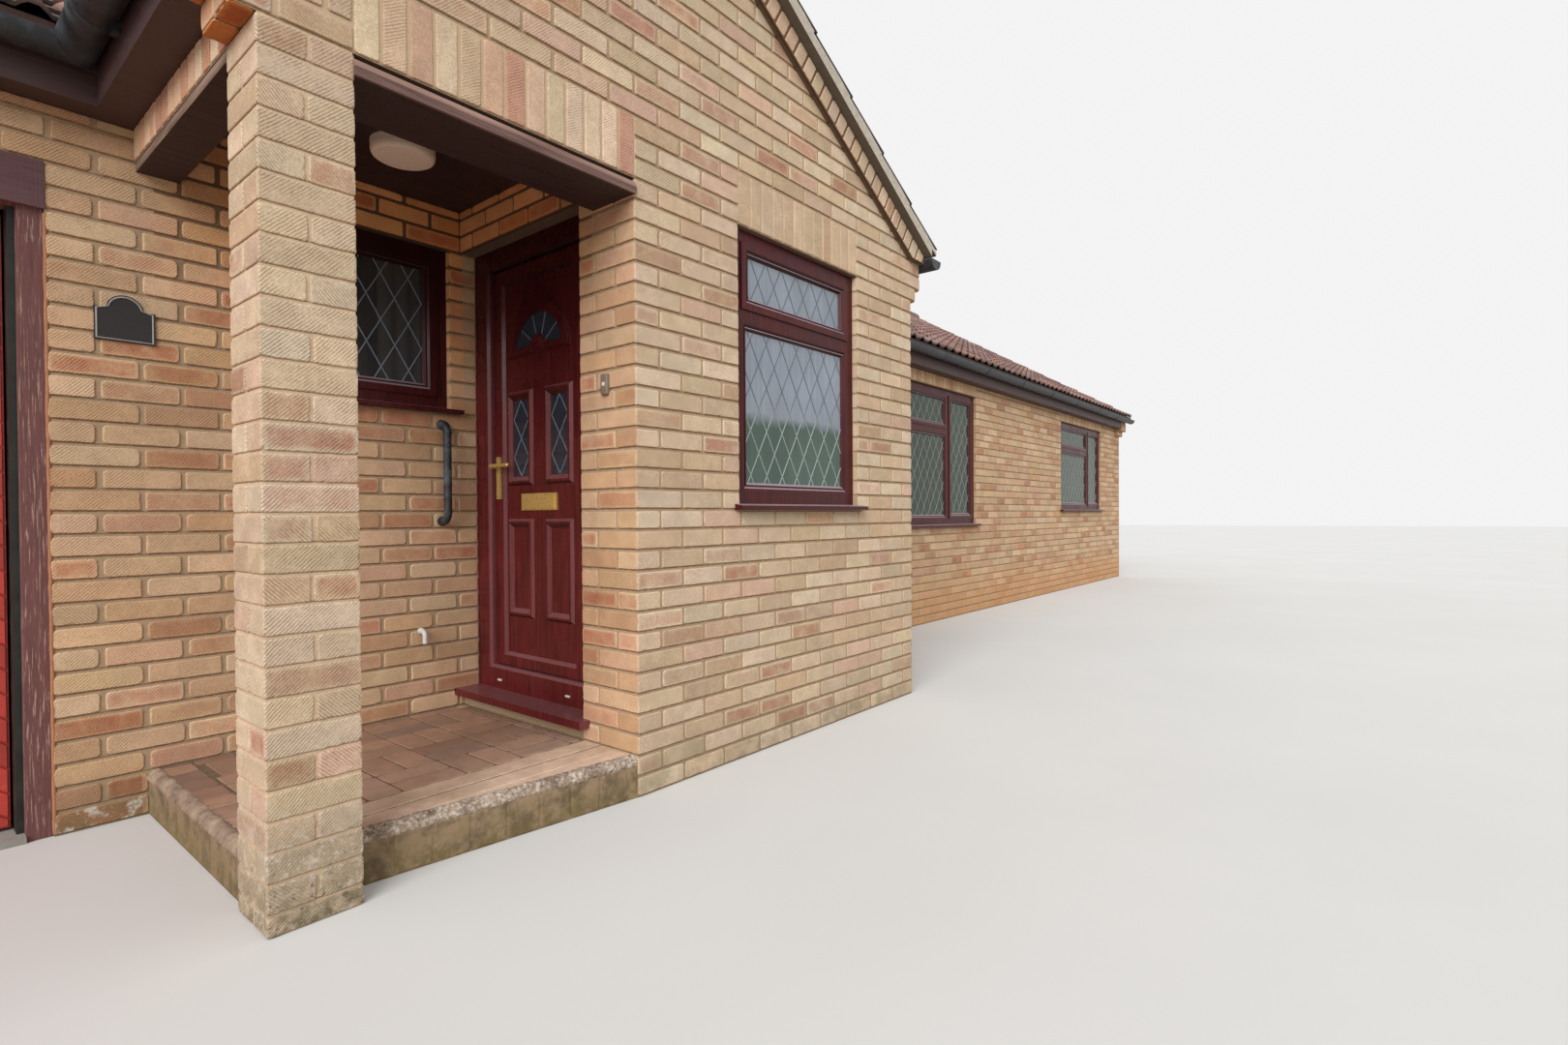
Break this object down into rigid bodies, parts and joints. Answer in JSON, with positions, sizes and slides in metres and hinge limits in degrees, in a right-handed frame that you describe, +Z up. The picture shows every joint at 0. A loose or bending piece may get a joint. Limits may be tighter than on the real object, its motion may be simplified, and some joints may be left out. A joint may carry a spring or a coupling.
{
  "type": "brick bungalow",
  "caption": "Single-storey buff brick bungalow with a projecting front gable, an open corner porch on a brick pier, a side-facing front door and an attached garage with an up-and-over door.",
  "frame": {"origin": "centre of the main range's footprint on the lowest ground level", "axes": "+X right along the front as seen from outside, +Y from the front into the house, +Z up"},
  "size_m": [15.3556, 9.0495, 4.9128],
  "materials": {
    "concrete": "smooth concrete",
    "porch_paving": "worn brick paving with a rough edge",
    "brickwork": "rough buff brick in mortar",
    "pier_brickwork": "rough buff brick in mortar, stained at the foot",
    "stained_timber": "dark stain",
    "painted_boards": "dark brown paint",
    "gutter_plastic": "weathered black",
    "roof_tiles": "weathered brown with lichen",
    "ridge_tiles": "weathered brown",
    "window_frames": "rosewood grain",
    "glazing": "clear with lead strips",
    "door_frame": "rosewood grain",
    "door_leaf": "rosewood grain",
    "door_brass": "polished",
    "garage_timber": "worn brown paint",
    "garage_steel": "dark green-black",
    "lift_steel": "galvanised",
    "garage_red": "satin red",
    "lamp_plastic": "opal",
    "rail_plastic": "ribbed",
    "plaque_metal": "black enamel"
  },
  "bodies": {
    "house": {"floor_slab": "concrete", "porch_floor": "porch_paving", "left_end_wall": "brickwork", "garage_wall_over": "brickwork", "porch_back_wall": "brickwork", "door_wall_over": "brickwork", "gable_front_wall": "brickwork", "gable_top": "brickwork", "gable_side_wall": "brickwork", "wing_wall": "brickwork", "right_end_wall": "brickwork", "rear_wall": "brickwork", "porch_side_wall": "brickwork", "porch_pier": "pier_brickwork", "porch_timbers": "stained_timber", "eaves_boards_left": "painted_boards", "eaves_boards_right": "painted_boards", "eaves_boards_rear": "painted_boards", "gutter_left": "gutter_plastic", "gutter_right": "gutter_plastic", "gutter_rear": "gutter_plastic", "main_roof_front": "roof_tiles", "main_roof_rear": "roof_tiles", "gable_roof": "roof_tiles", "ridge_tiles": "ridge_tiles", "porch_window": "window_frames", "porch_glass": "glazing", "gable_window": "window_frames", "gable_glass": "glazing", "wing_window_1": "window_frames", "wing_window_2": "window_frames", "wing_glass": "glazing", "rear_window": "window_frames", "rear_glass": "glazing", "door_frame": "door_frame", "garage_frame": "garage_timber", "garage_posts": "garage_steel", "porch_light": "lamp_plastic", "grab_rail": "rail_plastic", "number_plaque": "plaque_metal"},
    "front_door_leaf": {"front_door": "door_leaf", "door_glass": "glazing", "door_furniture": "door_brass"},
    "garage_lifting_gear": {"garage_lift": "lift_steel"},
    "garage_leaf": {"garage_door": "garage_red"}
  },
  "joints": [
    {"name": "front_door_hinge", "type": "hinge", "parent": "house", "child": "front_door_leaf", "pos_m": [-3.31875, -4.5475, 1.2], "axis": [0, 0, -1], "range_deg": [0, 88]},
    {"name": "garage_lift", "type": "slide", "parent": "house", "child": "garage_lifting_gear", "axis": [0, 0, 1], "range_m": [0, 0.9]},
    {"name": "garage_tilt", "type": "hinge", "parent": "garage_lifting_gear", "child": "garage_leaf", "pos_m": [-6.01075, -3.56, 1.02], "axis": [-1, 0, 0], "range_deg": [0, 87]}
  ],
  "couplings": [
    {"joint": "garage_tilt", "follows": "garage_lift", "rad_per_m": 1.687}
  ]
}
